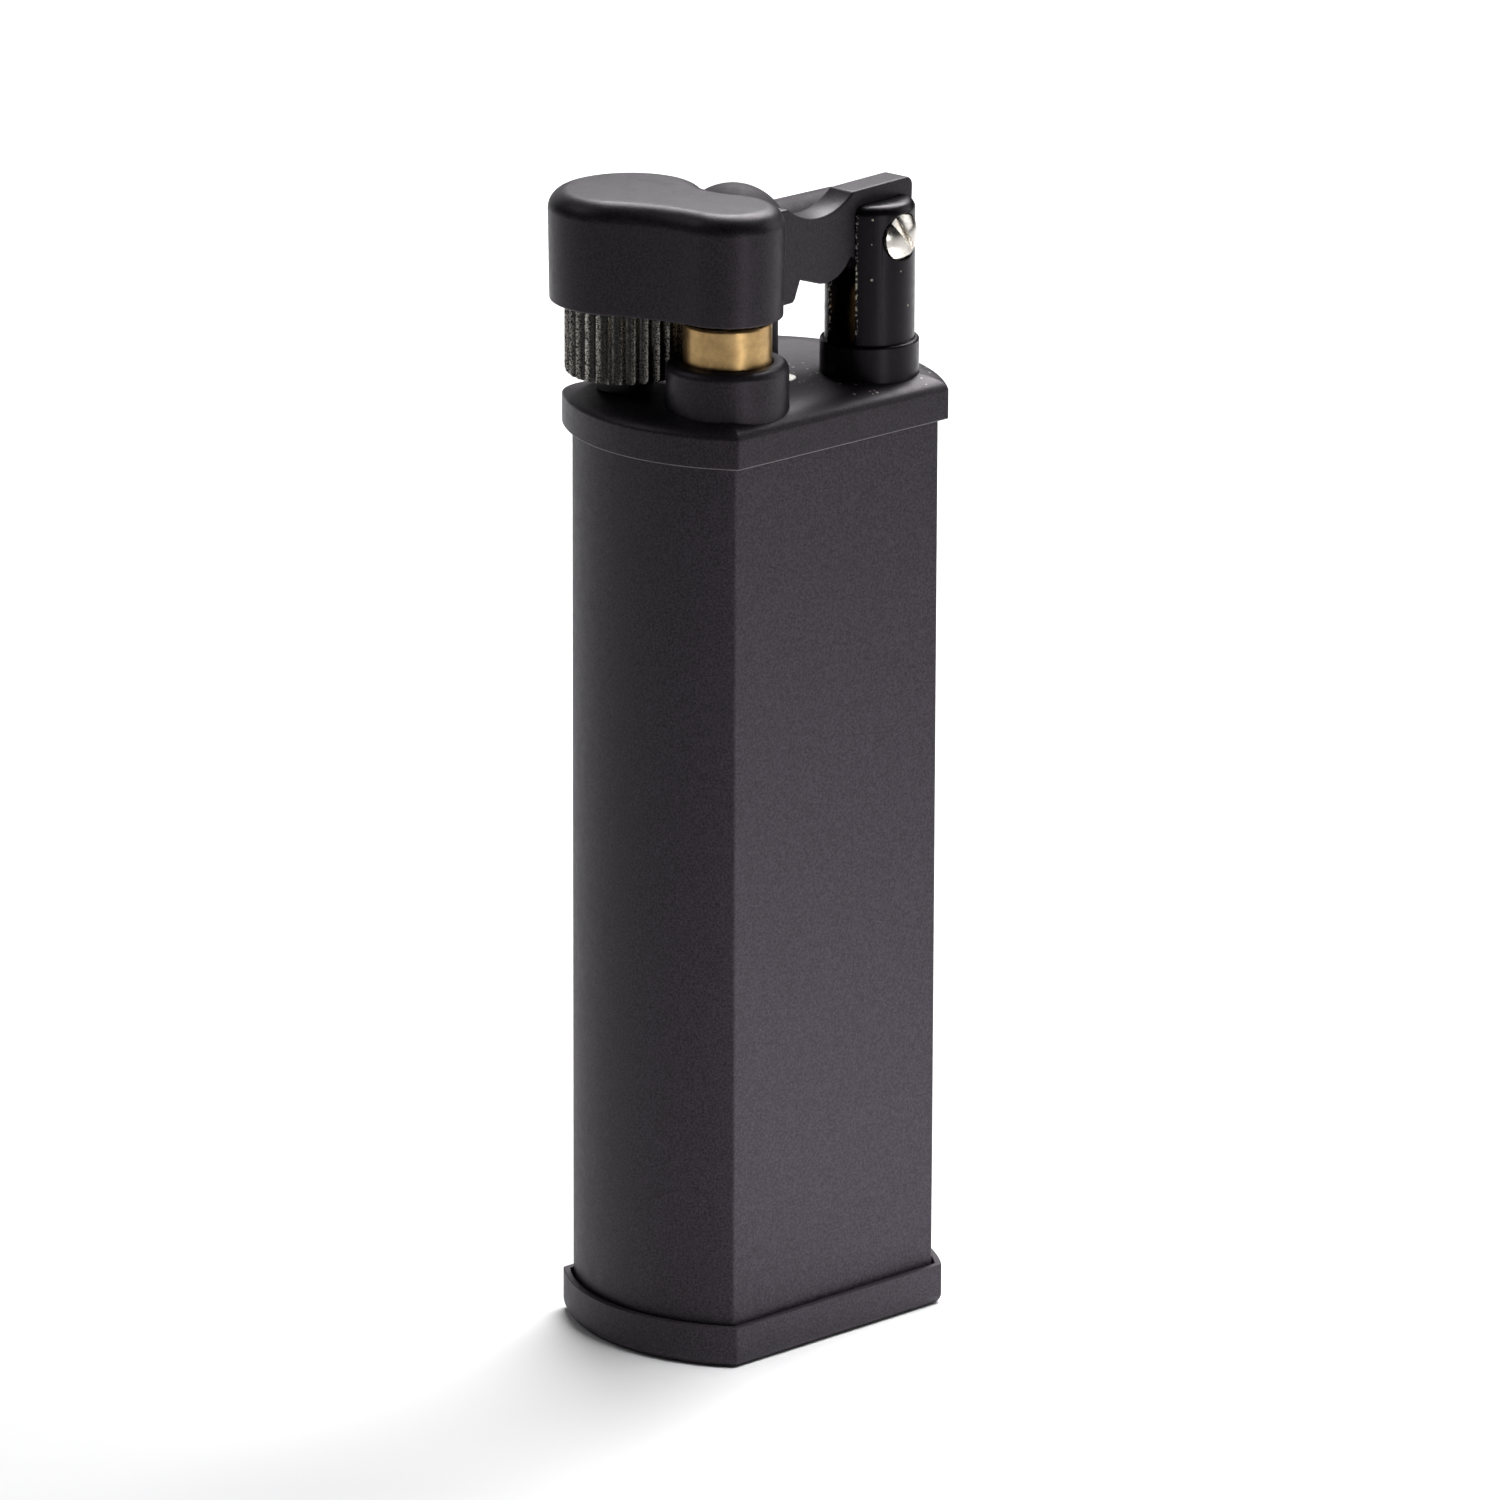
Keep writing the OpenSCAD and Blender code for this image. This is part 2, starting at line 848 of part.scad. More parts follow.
module flint_follower() {
  color("#c9a24a")
  translate([0, flint_y, plate_z + flint_h])
    union() {
      bar_between(follower_r, flint_back_x, follower_back_x);
      bar_between(0.5, follower_back_x, follower_back_x + 1.5);
    }
}

module flint_spring() {
  color("#a9abae")
  translate([follower_back_x, flint_y, plate_z + flint_h])
    rotate([0, 90, 0])
      coil_spring(0.9, 0.16, flint_screw_front_x - follower_back_x, 8);
}

module flint_screw() {
  head_x = tube_end_x + 1.1;
  color("#232225")
  translate([0, flint_y, plate_z + flint_h])
    difference() {
      union() {
        bar_between(flint_bore_r - run, flint_screw_front_x, tube_end_x);
        bar_between(flint_tube_r - 0.15, tube_end_x + run, head_x);
        bar_between(flint_bore_r - run, tube_end_x, head_x);
      }
      translate([head_x - 0.4, -flint_tube_r - cut, -0.25])
        cube([cut, 2 * flint_tube_r + 2 * cut, 0.5]);
    }
}

module cap_pin() {
  color("#b9bbbe")
  translate([pin_at[0], pin_at[1], plate_z])
    post_between(pin_r, -cap_plate, 0.04);
}

base_cap();
body_tube();
top_cap();
mechanism_block();
tank_shell();
tank_floor();
tank_seal();
valve_body();
valve_oring();
wick_filter();
burner_housing();
burner();
burner_nozzle();
stem_seal();
burner_spring();
flame_adjuster();
adjuster_rod();
adjuster_tube();
refill_valve_body();
refill_gasket();
refill_pin();
refill_spring();
hinge_post();
post_plug();
arm_plunger();
arm_spring();
lift_arm();
snuffer_pad();
pivot_screw();
thumb_roller();
flint_wheel();
roller_axle();
roller_washer();
flint_tower();
flint_tube();
flint();
flint_follower();
flint_spring();
flint_screw();
cap_pin();
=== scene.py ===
import math

import bmesh
import bpy
from mathutils import Matrix, Vector


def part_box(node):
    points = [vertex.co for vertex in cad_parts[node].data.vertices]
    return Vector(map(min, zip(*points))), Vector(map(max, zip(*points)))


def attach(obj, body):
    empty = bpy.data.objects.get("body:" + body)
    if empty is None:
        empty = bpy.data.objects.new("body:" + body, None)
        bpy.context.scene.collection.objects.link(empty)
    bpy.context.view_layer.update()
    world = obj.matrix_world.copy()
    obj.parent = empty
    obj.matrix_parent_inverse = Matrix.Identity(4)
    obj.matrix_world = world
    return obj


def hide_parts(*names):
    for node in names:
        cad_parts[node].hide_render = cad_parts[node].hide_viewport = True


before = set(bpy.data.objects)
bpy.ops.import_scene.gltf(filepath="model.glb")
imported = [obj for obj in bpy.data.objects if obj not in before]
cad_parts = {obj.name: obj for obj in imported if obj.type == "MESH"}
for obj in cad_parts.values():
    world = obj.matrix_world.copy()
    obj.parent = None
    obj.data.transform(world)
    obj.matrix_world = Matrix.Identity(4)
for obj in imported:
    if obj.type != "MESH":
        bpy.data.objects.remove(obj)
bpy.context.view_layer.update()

# Pieces are shaped in millimetres and scaled to metres when they are placed.
MM = 0.001

# Sides of the large round pieces
ROUND = 128

# How far a cutter reaches past the surface that it opens
PAST = 1


# ---------------------------------------------------------------- places from the CAD record

def low(node, axis):
    """Lowest coordinate of a CAD node along an axis, in millimetres."""
    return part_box(node)[0][axis] / MM


def high(node, axis):
    """Highest coordinate of a CAD node along an axis, in millimetres."""
    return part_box(node)[1][axis] / MM


def middle(node, axis):
    """Middle of a CAD node along an axis, in millimetres."""
    return (low(node, axis) + high(node, axis)) / 2


X, Y, Z = 0, 1, 2
PLATE = high("top_cap", Z)
BURNER = Vector((middle("burner", X), middle("burner", Y)))
POST = Vector((middle("hinge_post", X), middle("hinge_post", Y)))
ROLLER = Vector((middle("thumb_roller", X), middle("thumb_roller", Y)))
TOWER = Vector((middle("flint_tower", X), middle("flint_tower", Y)))
REFILL = Vector((middle("refill_valve_body", X), middle("refill_valve_body", Y)))
PIN = Vector((middle("cap_pin", X), middle("cap_pin", Y)))

# Axes that lie level: the pivot as (x, z), and the flint's as (y, z)
PIVOT = Vector((POST.x, PLATE + 8.6))
FLINT = Vector((ROLLER.y, middle("flint_tube", Z)))

# The arm plate, its slot and its screw are turned about the post, seen from above.
ARM_TURN = math.radians(5)
SLOT_WIDTH = 2

# Radii of what stands on the plate, and the smallest radius that a solid round piece starts from
HOUSING_R = 3.66
COLLAR_R = 2.98
POST_R = 2.7
PEDESTAL_R = 2.75
PIN_R = 0.92
HOUSING_STEM_R = 3
POST_STEM_R = 2.1
TOWER_STEM_R = 1.6
AXLE_R = 0.75
CORE = 0.1

# What stands on the plate has its foot sunk into a shallow seat.
HOUSING_SEAT = 0.5
FOOT_SEAT = 0.3


# ---------------------------------------------------------------- outlines and profiles

def arc(centre, radius, start, end, steps):
    """Points on an arc round centre, from one angle to another, in degrees."""
    points = []
    for step in range(steps + 1):
        angle = math.radians(start + (end - start) * step / steps)
        points.append((centre[0] + radius * math.cos(angle), centre[1] + radius * math.sin(angle)))
    return points


def rounded(corners, steps=6, closed=False):
    """Line through (x, y, fillet radius) corners, each corner rounded by an arc."""
    points = []
    count = len(corners)
    for index, (x, y, radius) in enumerate(corners):
        at_end = not closed and index in (0, count - 1)
        if radius == 0 or at_end:
            points.append((x, y))
            continue
        corner = Vector((x, y))
        back = (Vector(corners[index - 1][:2]) - corner).normalized()
        ahead = (Vector(corners[(index + 1) % count][:2]) - corner).normalized()
        half = back.angle(ahead) / 2
        reach = radius / math.tan(half)
        centre = corner + (back + ahead).normalized() * radius / math.sin(half)
        first = corner + back * reach - centre
        last = corner + ahead * reach - centre
        sweep = first.angle(last)
        for step in range(steps + 1):
            share = step / steps
            spoke = first * math.sin((1 - share) * sweep) + last * math.sin(share * sweep)
            points.append(tuple(centre + spoke / math.sin(sweep)))
    return points


SECTION_HALF_LENGTH = high("top_cap", X)
SECTION_HALF_WIDTH = high("top_cap", Y)
END_RADIUS = 12


def section(inset):
    """Plan outline of the body: two flats, two arcs, and four lightly rounded corners."""
    edge = 0.22  # fillet of the upright edges
    half_width = SECTION_HALF_WIDTH - inset
    radius = END_RADIUS - inset
    arc_x = SECTION_HALF_LENGTH - END_RADIUS
    edge_y = half_width - edge
    edge_x = arc_x + math.sqrt((radius - edge) ** 2 - edge_y ** 2)
    turn = math.degrees(math.atan2(edge_y, edge_x - arc_x))
    quarter = arc((arc_x, 0), radius, 0, turn, 24) + arc((edge_x, edge_y), edge, turn, 90, 5)[1:]
    quarter += [(edge_x * share / 5, half_width) for share in (4, 3, 2, 1)]
    left = [(-x, y) for x, y in reversed(quarter)]
    upper = quarter + [(0, half_width)] + left
    lower = [(x, -y) for x, y in reversed(upper)]
    return upper + lower[1:-1]


SMALL_LOBE = BURNER
LARGE_LOBE = ROLLER + Vector((0.28, 0))
SMALL_LOBE_R = 3.4
LARGE_LOBE_R = 4.75
INNER_WAIST_R = 2.6
OUTER_WAIST_R = 14


def waist_centre(radius, side):
    """Centre of the circle of that radius that touches both lobes from outside."""
    span = LARGE_LOBE - SMALL_LOBE
    gap = span.length
    small = SMALL_LOBE_R + radius
    large = LARGE_LOBE_R + radius
    along = (gap * gap + small * small - large * large) / (2 * gap)
    out = math.sqrt(small * small - along * along)
    axis = span / gap
    return SMALL_LOBE + along * axis + side * out * Vector((axis.y, -axis.x))


def heading(start, end):
    """Angle of the line from start to end, in degrees."""
    return math.degrees(math.atan2(end[1] - start[1], end[0] - start[0]))


# Beyond this inset the outline of the head shrinks to a point near its middle.
DEEPEST_INSET = 2.2
HEAD_MIDDLE = SMALL_LOBE * 0.45 + LARGE_LOBE * 0.55

# Fall of the head's top per square millimetre of reach from its middle
HEAD_DOME = 0.0025


def head(inset):
    """Plan outline of the arm's head: two lobes and the two waists between them."""
    shrink = max(0, inset - DEEPEST_INSET)
    inset = min(inset, DEEPEST_INSET)
    inner = waist_centre(INNER_WAIST_R, 1)
    outer = waist_centre(OUTER_WAIST_R, -1)
    small_from = heading(SMALL_LOBE, outer)
    small_to = heading(SMALL_LOBE, inner)
    large_from = heading(LARGE_LOBE, inner)
    large_to = heading(LARGE_LOBE, outer)
    small_to += 360 if small_to < small_from else 0
    large_to += 360 if large_to < large_from else 0
    inner_from = heading(inner, SMALL_LOBE)
    inner_to = heading(inner, LARGE_LOBE)
    inner_to -= 360 if inner_to > inner_from else 0
    outer_from = heading(outer, LARGE_LOBE)
    outer_to = heading(outer, SMALL_LOBE)
    outer_to -= 360 if outer_to > outer_from else 0
    points = arc(SMALL_LOBE, SMALL_LOBE_R - inset, small_from, small_to, 60)
    points += arc(inner, INNER_WAIST_R + inset, inner_from, inner_to, 30)[1:]
    points += arc(LARGE_LOBE, LARGE_LOBE_R - inset, large_from, large_to, 80)[1:]
    points += arc(outer, OUTER_WAIST_R + inset, outer_from, outer_to, 24)[1:-1]
    return [tuple(HEAD_MIDDLE + (Vector(point) - HEAD_MIDDLE) * (1 - shrink)) for point in points]


def circle(centre=(0, 0), steps=ROUND):
    """Outline function of a circle round centre, for a profile of (radius, height)."""
    def outline(radius):
        return arc(centre, radius, 0, 360, steps)[:-1]
    return outline


# ---------------------------------------------------------------- solids

def solid(name, points, faces):
    """Mesh object from points and faces, with its normals outwards."""
    mesh = bpy.data.meshes.new(name)
    mesh.from_pydata(points, [], faces)
    shape = bmesh.new()
    shape.from_mesh(mesh)
    bmesh.ops.recalc_face_normals(shape, faces=shape.faces)
    shape.to_mesh(mesh)
    shape.free()
    piece = bpy.data.objects.new(name, mesh)
    bpy.context.scene.collection.objects.link(piece)
    return piece


def loft(name, outline, profile, closed=False):
    """Solid skinned over rings: outline(size) at each (size, height) of the profile.

    A closed profile makes a ring with a hole through it.
    """
    points = []
    for size, height in profile:
        points += [(x, y, height) for x, y in outline(size)]
    around = len(outline(profile[0][0]))
    rings = len(profile)
    faces = []
    for ring in range(rings if closed else rings - 1):
        upper = (ring + 1) % rings
        for side in range(around):
            after = (side + 1) % around
            faces.append((ring * around + side, ring * around + after,
                          upper * around + after, upper * around + side))
    if not closed:
        faces.append(tuple(range(around)))
        faces.append(tuple(range((rings - 1) * around, rings * around)))
    return solid(name, points, faces)


def turned(name, corners, centre=(0, 0), closed=False, steps=ROUND):
    """Solid turned round a vertical axis from (radius, height, fillet) corners."""
    return loft(name, circle(centre, steps), rounded(corners, closed=closed), closed)


def prism(name, outline, start, end):
    """Outline in X and Z, extruded along Y."""
    count = len(outline)
    points = [(x, start, z) for x, z in outline] + [(x, end, z) for x, z in outline]
    faces = [tuple(range(count)), tuple(range(count, 2 * count))]
    for side in range(count):
        after = (side + 1) % count
        faces.append((side, after, count + after, count + side))
    return solid(name, points, faces)


def block(name, lowest, highest):
    """Plain box between two corners, used as a cutter."""
    outline = [(lowest[0], lowest[2]), (highest[0], lowest[2]),
               (highest[0], highest[2]), (lowest[0], highest[2])]
    return prism(name, outline, lowest[1], highest[1])


def rod(name, radius, start, end, steps=64):
    """Cylinder between two points, used as a cutter or a bar."""
    start = Vector(start)
    span = Vector(end) - start
    piece = loft(name, circle(steps=steps), [(radius, 0), (radius, span.length)])
    turn = Vector((0, 0, 1)).rotation_difference(span).to_matrix().to_4x4()
    piece.data.transform(Matrix.Translation(start) @ turn)
    return piece


def bake(piece):
    """Applies the piece's modifiers."""
    bpy.context.view_layer.update()
    graph = bpy.context.evaluated_depsgraph_get()
    mesh = bpy.data.meshes.new_from_object(piece.evaluated_get(graph))
    piece.modifiers.clear()
    piece.data = mesh


def combine(piece, others, operation="DIFFERENCE"):
    """Cuts the others out of the piece or joins them to it. The others are used up."""
    for other in others:
        change = piece.modifiers.new("combine", "BOOLEAN")
        change.operation = operation
        change.solver = "EXACT"
        change.object = other
        bake(piece)
        bpy.data.objects.remove(other)


def bevel(piece, width, segments=3, angle=35):
    """Rounds the piece's sharp edges."""
    change = piece.modifiers.new("bevel", "BEVEL")
    change.width = width
    change.segments = segments
    change.limit_method = "ANGLE"
    change.angle_limit = math.radians(angle)
    change.use_clamp_overlap = False
    bake(piece)


def turned_with_arm(piece):
    """The piece turned about the post's axis to the direction of the arm plate."""
    axis = Vector((*POST, 0))
    piece.data.transform(Matrix.Translation(axis) @ Matrix.Rotation(ARM_TURN, 4, "Z")
                         @ Matrix.Translation(-axis))
    return piece


def add_piece(piece, body, slot, material, *nodes, angle=35):
    """Finishes a piece: smooths it, scales it to metres, paints it, and ties it to its CAD nodes."""
    mesh = piece.data
    mesh.transform(Matrix.Scale(MM, 4))
    mesh.shade_smooth()
    mesh.set_sharp_from_angle(angle=math.radians(angle))
    weights = piece.modifiers.new("normals", "WEIGHTED_NORMAL")
    weights.keep_sharp = True
    weights.mode = "FACE_AREA_WITH_ANGLE"
    bake(piece)
    piece.data.materials.clear()
    piece.data.materials.append(material)
    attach(piece, body)
    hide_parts(*nodes)


# ---------------------------------------------------------------- materials

class Tree:
    """A material's node tree, with a short way to add a node and link its inputs."""

    def __init__(self, name):
        self.material = bpy.data.materials.new(name)
        self.material.use_nodes = True
        self.nodes = self.material.node_tree.nodes
        self.links = self.material.node_tree.links
        self.shader = self.nodes["Principled BSDF"]
        self.place = self.add("ShaderNodeTexCoord").outputs["Object"]

    def add(self, kind, inputs=None, **settings):
        """New node with its settings, and each input linked or given a value."""
        node = self.nodes.new(kind)
        for key, value in settings.items():
            setattr(node, key, value)
        self.fill(node, inputs or {})
        return node

    def fill(self, node, inputs):
        """Links or sets inputs of a node."""
        for key, value in inputs.items():
            if isinstance(value, bpy.types.NodeSocket):
                self.links.new(value, node.inputs[key])
            else:
                node.inputs[key].default_value = value

    def noise(self, size, detail=2.0, stretch=(1, 1, 1)):
        """Noise whose grains are about size millimetres, in the object's own space."""
        spread = self.add("ShaderNodeMapping", {"Vector": self.place, "Scale": stretch})
        return self.add("ShaderNodeTexNoise", {"Vector": spread.outputs[0], "Scale": 1 / (size * MM),
                                               "Detail": detail, "Roughness": 0.6}).outputs["Fac"]

    def between(self, value, start, end, low_value=0.0, high_value=1.0):
        """The value mapped from one range to another and clamped."""
        return self.add("ShaderNodeMapRange", {"Value": value, "From Min": start, "From Max": end,
                                               "To Min": low_value, "To Max": high_value}).outputs[0]

    def maths(self, operation, first, second=0.0):
        """Result of a maths node."""
        return self.add("ShaderNodeMath", {0: first, 1: second}, operation=operation).outputs[0]

    def mixed(self, share, first, second):
        """Two colours mixed."""
        mix = self.add("ShaderNodeMix", data_type="RGBA")
        sockets = {socket.identifier: socket for socket in mix.inputs}
        pairs = (("Factor_Float", share), ("A_Color", first), ("B_Color", second))
        for key, value in pairs:
            if isinstance(value, bpy.types.NodeSocket):
                self.links.new(value, sockets[key])
            else:
                sockets[key].default_value = value
        return next(socket for socket in mix.outputs if socket.identifier == "Result_Color")

    def bump(self, height, depth, strength=1.0, under=None):
        """Bump of that depth in millimetres, over another bump if one is given."""
        inputs = {"Height": height, "Distance": depth * MM, "Strength": strength}
        if under is not None:
            inputs["Normal"] = under
        return self.add("ShaderNodeBump", inputs).outputs[0]

    def specks(self, spacing, size, share):
        """Sparse round specks: 1 inside a speck and 0 outside."""
        cells = self.add("ShaderNodeTexVoronoi", {"Vector": self.place, "Scale": 1 / (spacing * MM)})
        parts = self.add("ShaderNodeSeparateColor", {0: cells.outputs["Color"]})
        chosen = self.maths("LESS_THAN", parts.outputs[0], share)
        reach = self.maths("MULTIPLY", parts.outputs[1], size / spacing)
        inside = self.maths("LESS_THAN", cells.outputs["Distance"], reach)
        return self.maths("MULTIPLY", chosen, inside)

    def reach_from(self, axis):
        """Distance from an upright axis, in metres."""
        spread = self.add("ShaderNodeSeparateXYZ", {0: self.place})
        across = [self.maths("SUBTRACT", spread.outputs[i], axis[i] * MM) for i in (X, Y)]
        squares = [self.maths("MULTIPLY", value, value) for value in across]
        return self.maths("SQRT", self.maths("ADD", squares[0], squares[1]))

    def away_from_height(self, height):
        """Distance from a height, in metres."""
        spread = self.add("ShaderNodeSeparateXYZ", {0: self.place})
        return self.maths("ABSOLUTE", self.maths("SUBTRACT", spread.outputs[Z], height * MM))


# Tint of the light that the black paint reflects
PURPLE = (1, 0.87, 1, 1)

# Colour of a painted highlight on an edge, and colours of what shows through the paint or lies on it
EDGE_HIGHLIGHT = (0.3, 0.28, 0.28, 1)
BARE_CHIP = (0.75, 0.72, 0.66, 1)
DUST = (0.5, 0.47, 0.42, 1)
GRIT = (0.4, 0.36, 0.28, 1)


def grey(level, tint=0.2):
    """Colour of a grey with a slight purple tint."""
    return (level * (1 + tint), level, level * (1 + 1.5 * tint), 1)


def powder_paint(name, level, roughness, grain=0.5, dust=0.02, highlight_height=None, dusty_at=None):
    """Matte powder paint: fine grain, slow mottling, and a few specks of dust.

    A thin lighter line at the given height is a painted highlight on an edge, and dust gathers round
    dusty_at.
    """
    tree = Tree(name)
    fine = tree.noise(0.13, 3)
    coarse = tree.noise(0.7, 3)
    tone = tree.mixed(tree.between(fine, 0.35, 0.65), grey(level * 0.3), grey(level * 1.8))
    tone = tree.mixed(tree.between(coarse, 0.35, 0.75, 0, 0.25), tone, grey(level * 1.9))
    speck = tree.specks(1.6, 0.11, dust)
    if dusty_at is not None:
        near = tree.between(tree.reach_from(dusty_at), 3.2 * MM, 5.6 * MM, 1, 0)
        on_top = tree.between(tree.away_from_height(PLATE), 0.3 * MM, 0.45 * MM, 1, 0)
        lint = tree.maths("MULTIPLY", tree.specks(0.38, 0.11, 0.6), near)
        lint = tree.maths("MULTIPLY", lint, on_top)
        speck = tree.maths("MAXIMUM", speck, tree.between(lint, 0.15, 0.2))
    # Painted highlight: a thin lighter line at that height, where the edge would catch light
    if highlight_height is not None:
        line = tree.between(tree.away_from_height(highlight_height), 0.04 * MM, 0.1 * MM, 0.3, 0)
        tone = tree.mixed(line, tone, EDGE_HIGHLIGHT)
    gloss = tree.between(coarse, 0.2, 0.8, roughness - 0.05, roughness + 0.07)
    relief = tree.bump(coarse, 0.01, 0.5)
    tree.fill(tree.shader, {
        "Base Color": tree.mixed(speck, tone, DUST),
        "Roughness": gloss,
        "Specular IOR Level": 0.3,
        "Specular Tint": PURPLE,
        "Normal": tree.bump(fine, 0.014, grain, relief),
    })
    return tree.material


def metal(name, colour, dark, roughness, grain, stretch=(1, 1, 1), relief=0.003, spread=0.12):
    """Bare metal: grain that follows its turning or drawing, and uneven tarnish."""
    tree = Tree(name)
    lines = tree.noise(grain, 4, stretch)
    stain = tree.noise(0.9, 4)
    tone = tree.mixed(tree.between(stain, 0.35, 0.8, 0, 0.7), colour, dark)
    tone = tree.mixed(tree.between(lines, 0.35, 0.75, 0, 0.4), tone, dark)
    tree.fill(tree.shader, {
        "Base Color": tone,
        "Metallic": 1.0,
        "Roughness": tree.between(lines, 0.3, 0.75, roughness - spread / 2, roughness + spread),
        "Normal": tree.bump(lines, relief, 0.6),
    })
    return tree.material


def moulded(name, colour, dark, roughness, grain=0.15):
    """Rubber, plastic or felt: two close tones and a fine grain."""
    tree = Tree(name)
    fine = tree.noise(grain, 3)
    coarse = tree.noise(1.1, 3)
    tone = tree.mixed(tree.between(coarse, 0.3, 0.7), colour, dark)
    tree.fill(tree.shader, {
        "Base Color": tone,
        "Roughness": tree.between(fine, 0.3, 0.7, roughness - 0.06, roughness + 0.08),
        "Normal": tree.bump(fine, 0.004, 0.5),
    })
    return tree.material


def post_enamel(name, level, roughness):
    """Glossier enamel of the hinge post, with bare metal chips along the edges of its slot."""
    tree = Tree(name)
    fine = tree.noise(0.12, 3)
    coarse = tree.noise(0.5, 3)
    sideways = Vector((-math.sin(ARM_TURN), math.cos(ARM_TURN), 0))
    along = tree.add("ShaderNodeVectorMath", {0: tree.place, 1: sideways}, operation="DOT_PRODUCT")
    middle_line = sideways.xy.dot(POST) * MM
    across = tree.maths("ABSOLUTE", tree.maths("SUBTRACT", along.outputs["Value"], middle_line))
    to_edge = tree.maths("ABSOLUTE", tree.maths("SUBTRACT", across, SLOT_WIDTH / 2 * MM))
    near_edge = tree.between(to_edge, 0.1 * MM, 0.2 * MM, 1, 0)
    upright = tree.add("ShaderNodeSeparateXYZ", {0: tree.place})
    above = tree.between(upright.outputs[Z], (PLATE + 2.5) * MM, (PLATE + 3) * MM)
    skin = tree.between(tree.reach_from(POST), 2.5 * MM, 2.56 * MM)
    flakes = tree.between(tree.noise(0.22, 2), 0.54, 0.57)
    chip = tree.maths("MULTIPLY", tree.maths("MULTIPLY", near_edge, above), flakes)
    chip = tree.maths("MULTIPLY", chip, skin)
    speck = tree.specks(0.6, 0.1, 0.2)
    tone = tree.mixed(tree.between(coarse, 0.3, 0.7), grey(level * 0.7), grey(level * 1.3))
    tone = tree.mixed(speck, tone, GRIT)
    tree.fill(tree.shader, {
        "Base Color": tree.mixed(chip, tone, BARE_CHIP),
        "Metallic": chip,
        "Roughness": tree.between(coarse, 0.25, 0.75, roughness - 0.06, roughness + 0.08),
        "Specular IOR Level": 0.22,
        "Specular Tint": PURPLE,
        "Normal": tree.bump(fine, 0.008, 0.6),
    })
    return tree.material


def worn_roller(name, axis, ridge, valley):
    """Dark plated steel whose ridges are worn bright and whose valleys hold dirt.

    The wear grows between the radii valley and ridge, from an upright axis.
    """
    dirt = (0.015, 0.015, 0.015, 1)
    plating = (0.09, 0.087, 0.08, 1)
    bright = (0.6, 0.57, 0.52, 1)
    tree = Tree(name)
    worn = tree.between(tree.reach_from(axis), valley * MM, ridge * MM)
    grit = tree.noise(0.1, 4)
    rub = tree.maths("MULTIPLY", worn, tree.between(grit, 0.42, 0.62))
    tone = tree.mixed(tree.between(grit, 0.4, 0.7), dirt, plating)
    tree.fill(tree.shader, {
        "Base Color": tree.mixed(rub, tone, bright),
        "Metallic": 1.0,
        "Roughness": tree.between(grit, 0.3, 0.7, 0.26, 0.48),
        "Normal": tree.bump(grit, 0.012, 0.7),
    })
    return tree.material


PAINT = powder_paint("body_paint", 0.016, 0.52)
# The cap's paint has a painted highlight along the lower edge of its skirt, and dust round the post.
CAP_PAINT = powder_paint("cap_paint", 0.013, 0.44, dust=0.03,
                         highlight_height=low("top_cap", Z), dusty_at=POST)
CAST_PAINT = powder_paint("arm_paint", 0.011, 0.4, grain=0.6, dust=0.012)
DULL_PAINT = powder_paint("tower_paint", 0.013, 0.66, grain=0.6, dust=0.012)
ENAMEL = post_enamel("post_enamel", 0.003, 0.33)
BRASS = metal("turned_brass", (0.7, 0.47, 0.21, 1), (0.3, 0.18, 0.075, 1), 0.34,
              grain=0.22, stretch=(1, 1, 9), relief=0.004)
BRIGHT_PIN = metal("bright_pin", (0.95, 0.93, 0.88, 1), (0.85, 0.82, 0.76, 1), 0.5, grain=0.5)
NICKEL = metal("nickel", (0.74, 0.71, 0.66, 1), (0.36, 0.33, 0.29, 1), 0.2,
               grain=0.3, stretch=(1, 4, 1))
SPRING = metal("spring_wire", (0.5, 0.5, 0.51, 1), (0.25, 0.25, 0.26, 1), 0.3, grain=0.12)
CASTING = metal("cast_alloy", (0.5, 0.5, 0.51, 1), (0.3, 0.3, 0.31, 1), 0.45, grain=0.2)
RUBBER = moulded("black_rubber", (0.02, 0.02, 0.02, 1), (0.03, 0.03, 0.03, 1), 0.75)
NYLON = moulded("tank_nylon", (0.72, 0.7, 0.64, 1), (0.66, 0.64, 0.57, 1), 0.45)
FELT = moulded("filter_felt", (0.8, 0.79, 0.74, 1), (0.66, 0.65, 0.6, 1), 0.9, grain=0.05)
FLINT_ALLOY = moulded("flint_alloy", (0.05, 0.05, 0.052, 1), (0.09, 0.085, 0.08, 1), 0.6)
ROLLER_METAL = worn_roller("dark_nickel", ROLLER, ridge=3.53, valley=3.3)
WHEEL_METAL = worn_roller("flint_wheel_steel", ROLLER, ridge=2.6, valley=2.42)


# ---------------------------------------------------------------- body

def make_base_cap():
    """Rimmed cup round the foot, with the holes for the adjuster and the refill valve."""
    rim = high("base_cap", Z)
    floor = low("body_tube", Z)
    cup = 0.42
    profile = rounded([(0.7, 0, 0), (0, 0, 0.68), (0, rim, 0.07), (cup, rim, 0.07),
                       (cup, floor, 0)])
    piece = loft("base_cap", section, [(2, 0)] + profile + [(2, floor)])
    combine(piece, [rod("hole", radius, (*centre, -PAST), (*centre, 3))
                    for centre, radius in ((BURNER, 2), (REFILL, 2.42))])
    bevel(piece, 0.06)
    add_piece(piece, "lighter_body", "matte_black", PAINT, "base_cap")


def make_body_tube():
    """Painted tube of the body."""
    foot = low("body_tube", Z)
    head_z = high("body_tube", Z)
    outside = 0.6
    inside = 1.1
    profile = [(outside, foot), (outside, head_z), (inside, head_z), (inside, foot)]
    piece = loft("body_tube", section, profile, closed=True)
    add_piece(piece, "lighter_body", "matte_black", PAINT, "body_tube")


# The plate falls away in a wide crown towards its edge.
CROWN_REACH = 2.8
CROWN_DROP = 0.95


